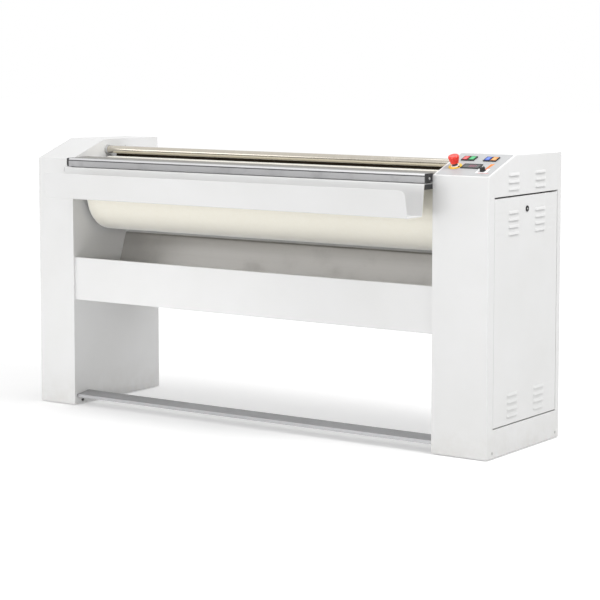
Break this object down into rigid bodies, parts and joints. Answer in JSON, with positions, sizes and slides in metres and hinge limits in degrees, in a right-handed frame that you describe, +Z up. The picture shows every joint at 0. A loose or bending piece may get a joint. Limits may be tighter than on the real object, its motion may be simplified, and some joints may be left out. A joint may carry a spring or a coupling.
{
  "type": "flatwork ironer",
  "caption": "Floor-standing linen ironer: a padded roller turns against a concave heated chest between two columns, closed by a foot bar.",
  "frame": {"origin": "middle of the bounding box's footprint, on the floor", "axes": "+X along the roller towards the control column, +Y from the operator's side to the back, +Z up"},
  "size_m": [2.0878, 0.7444, 1.0674],
  "materials": {
    "white_enamel": "smooth white powder coat",
    "slide_steel": "fine brushed",
    "feed_steel": "brushed along the roller",
    "tube_steel": "ground and polished",
    "guard_aluminium": "anodised extrusion",
    "pedal_aluminium": "anodised, brushed along its length",
    "black_plastic": "matte black",
    "black_steel": "black paint",
    "lock_metal": "black, satin",
    "zinc_steel": "zinc plated",
    "roller_cloth": "cream ironing cloth",
    "padding": "needled felt",
    "drum_steel": "rolled steel",
    "chest_metal": "polished inner face",
    "heater": "dull sheath",
    "mineral_wool": "fibrous mat",
    "bearing_iron": "painted casting",
    "belt_rubber": "matte",
    "gearbox_paint": "cast, painted grey",
    "box_paint": "light grey paint",
    "overlay_film": "grey film with a white border",
    "estop_yellow": "yellow ring",
    "estop_grey": "dark plastic",
    "estop_red": "red mushroom head",
    "red_plastic": "red key",
    "green_plastic": "green key",
    "blue_plastic": "blue key",
    "orange_plastic": "orange key"
  },
  "bodies": {
    "frame": {"base_plates": "black_steel", "bearing_bolts": "zinc_steel", "bearing_housings": "bearing_iron", "button_bezels": "black_plastic", "cable_gland": "black_plastic", "collecting_tray": "white_enamel", "control_box": "box_paint", "control_overlay": "overlay_film", "cross_beams": "zinc_steel", "discharge_slide": "slide_steel", "display_module": "black_plastic", "drive_belt": "belt_rubber", "drive_motor": "gearbox_paint", "estop_base": "estop_yellow", "feed_plate": "feed_steel", "feed_trough": "white_enamel", "front_brackets": "black_steel", "gearbox": "gearbox_paint", "left_cover": "white_enamel", "left_inner_plate": "white_enamel", "left_service_panel": "white_enamel", "left_side_panel": "white_enamel", "levelling_feet": "zinc_steel", "motor_bracket": "black_steel", "panel_screws": "zinc_steel", "rear_cover": "white_enamel", "right_cover": "white_enamel", "right_inner_plate": "white_enamel", "right_side_panel": "white_enamel", "tube_bushes": "tube_steel"},
    "roller": {"roller_cover": "roller_cloth", "roller_padding": "padding", "roller_drum": "drum_steel", "roller_journals": "drum_steel", "roller_pulley": "bearing_iron"},
    "motor_shaft": {"motor_pulley": "bearing_iron"},
    "pedal": {"pedal_bar": "pedal_aluminium", "pedal_plugs": "black_plastic", "pedal_arms": "zinc_steel"},
    "chest": {"pivot_tube": "tube_steel", "chest_plate": "chest_metal", "heating_elements": "heater", "heater_clamps": "zinc_steel", "chest_insulation": "mineral_wool", "chest_jacket": "zinc_steel", "chest_arms": "zinc_steel"},
    "tie_rod": {"tie_rod": "zinc_steel"},
    "guard": {"guard_bar": "guard_aluminium", "guard_caps": "black_plastic"},
    "door": {"access_door": "white_enamel"},
    "lock": {"door_lock": "lock_metal"},
    "estop_stem": {"estop_stem": "estop_grey"},
    "estop_head": {"estop_head": "estop_red"},
    "red_button": {"red_button": "red_plastic"},
    "green_button": {"green_button": "green_plastic"},
    "blue_button": {"blue_button": "blue_plastic"},
    "orange_button": {"orange_button": "orange_plastic"},
    "knob": {"speed_knob": "black_plastic"}
  },
  "joints": [
    {"name": "roller_spin", "type": "hinge", "parent": "frame", "child": "roller", "pos_m": [0, 0.01675, 0.85], "axis": [-1, 0, 0], "continuous": true},
    {"name": "motor_spin", "type": "hinge", "parent": "frame", "child": "motor_shaft", "pos_m": [0.8689, 0.11075, 0.56], "axis": [-1, 0, 0], "continuous": true},
    {"name": "pedal_press", "type": "hinge", "parent": "frame", "child": "pedal", "pos_m": [0, 0.14075, 0.06], "axis": [1, 0, 0], "range_deg": [0, 4], "stiffness_Nm_per_rad": 200, "springref_deg": -25.78},
    {"name": "chest_swing", "type": "hinge", "parent": "frame", "child": "chest", "pos_m": [0, 0.02575, 1.0237], "axis": [-1, 0, 0], "range_deg": [0, 3]},
    {"name": "tie_rod_pivot", "type": "hinge", "parent": "pedal", "child": "tie_rod", "pos_m": [-0.8871, 0.06597, 0.05421], "axis": [1, 0, 0], "range_deg": [-4.2, 0.2]},
    {"name": "guard_tip", "type": "hinge", "parent": "frame", "child": "guard", "pos_m": [0, -0.21125, 0.9825], "axis": [-1, 0, 0], "range_deg": [0, 6], "stiffness_Nm_per_rad": 3, "springref_deg": -17.19},
    {"name": "door_tilt", "type": "hinge", "parent": "frame", "child": "door", "pos_m": [1.0304, 0.0795, 0.118], "axis": [0, 1, 0], "range_deg": [0, 30]},
    {"name": "lock_turn", "type": "hinge", "parent": "door", "child": "lock", "pos_m": [1.0389, 0.08675, 0.868], "axis": [1, 0, 0], "range_deg": [0, 90]},
    {"name": "estop_press", "type": "slide", "parent": "frame", "child": "estop_stem", "axis": [0, 0.34, -0.9404], "range_m": [0, 0.004], "stiffness_N_per_m": 1500, "springref_m": -0.004},
    {"name": "estop_twist", "type": "hinge", "parent": "estop_stem", "child": "estop_head", "pos_m": [0.8594, -0.11308, 1.02154], "axis": [0, 0.34, -0.9404], "range_deg": [0, 45], "stiffness_Nm_per_rad": 0.2, "springref_deg": -11.46},
    {"name": "red_press", "type": "slide", "parent": "frame", "child": "red_button", "axis": [0, 0.34, -0.9404], "range_m": [0, 0.002], "stiffness_N_per_m": 800, "springref_m": -0.002},
    {"name": "green_press", "type": "slide", "parent": "frame", "child": "green_button", "axis": [0, 0.34, -0.9404], "range_m": [0, 0.002], "stiffness_N_per_m": 800, "springref_m": -0.002},
    {"name": "blue_press", "type": "slide", "parent": "frame", "child": "blue_button", "axis": [0, 0.34, -0.9404], "range_m": [0, 0.002], "stiffness_N_per_m": 800, "springref_m": -0.002},
    {"name": "orange_press", "type": "slide", "parent": "frame", "child": "orange_button", "axis": [0, 0.34, -0.9404], "range_m": [0, 0.002], "stiffness_N_per_m": 800, "springref_m": -0.002},
    {"name": "knob_turn", "type": "hinge", "parent": "frame", "child": "knob", "pos_m": [0.9864, -0.14129, 1.01134], "axis": [0, -0.34, 0.9404], "range_deg": [-135, 135]}
  ],
  "couplings": [
    {"joint": "motor_spin", "follows": "roller_spin", "ratio": 3},
    {"joint": "chest_swing", "follows": "pedal_press", "ratio": 0.75},
    {"joint": "tie_rod_pivot", "follows": "pedal_press", "ratio": -1}
  ]
}
